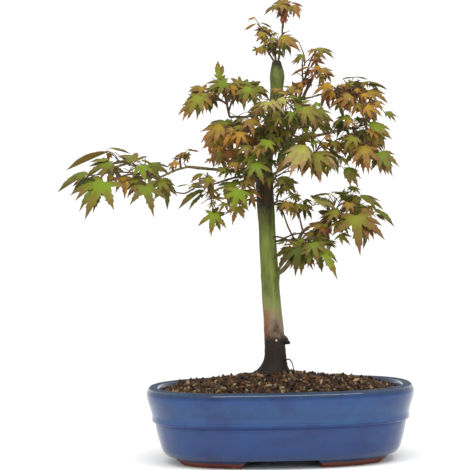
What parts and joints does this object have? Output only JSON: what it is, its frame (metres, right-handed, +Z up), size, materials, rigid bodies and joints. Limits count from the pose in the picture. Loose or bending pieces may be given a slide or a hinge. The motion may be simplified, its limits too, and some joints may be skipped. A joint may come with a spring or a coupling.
{
  "type": "potted bonsai tree",
  "caption": "Japanese maple bonsai with palmate leaves on bending boughs round an upright trunk, in an oval glazed pot on low feet.",
  "frame": {"origin": "on the ground under the middle of the plant's bounding box", "axes": "+Z up along the trunk, +Y from the tree's front to its back, +X to the right as seen from the front"},
  "size_m": [0.3282, 0.1794, 0.4296],
  "materials": {
    "glaze": "gloss",
    "soil": "rough",
    "trunk_bark": "satin",
    "bough_bark": "satin",
    "leaves_green": "satin",
    "leaves_pale": "satin",
    "leaves_olive": "satin",
    "leaves_bronze": "satin"
  },
  "bodies": {
    "root": {"pot": "glaze", "soil": "soil", "trunk": "trunk_bark", "bough_long_left": "bough_bark", "bough_left_end": "bough_bark", "bough_lower_left": "bough_bark", "bough_middle_left": "bough_bark", "bough_upper_left": "bough_bark", "bough_right": "bough_bark", "bough_upper_right": "bough_bark", "bough_high_right": "bough_bark", "bough_inner_right": "bough_bark", "bough_low_right": "bough_bark", "bough_low_right_end": "bough_bark", "bough_leader": "bough_bark", "bough_back_left": "bough_bark", "bough_back_right": "bough_bark", "bough_back_low": "bough_bark", "foliage_far_left": "leaves_green", "foliage_above_left": "leaves_bronze", "foliage_lower_left": "leaves_green", "foliage_under_left": "leaves_green", "foliage_middle_left": "leaves_bronze", "foliage_upper_left": "leaves_olive", "foliage_apex": "leaves_bronze", "foliage_top": "leaves_olive", "foliage_upper_right": "leaves_bronze", "foliage_high_right": "leaves_bronze", "foliage_right": "leaves_olive", "foliage_inner_right": "leaves_pale", "foliage_near_trunk": "leaves_olive", "foliage_low_right": "leaves_green", "foliage_lowest_right": "leaves_green", "foliage_front": "leaves_olive", "foliage_front_low": "leaves_green", "foliage_back_left": "leaves_olive", "foliage_back_right": "leaves_olive", "foliage_back_low": "leaves_green"}
  },
  "joints": []
}
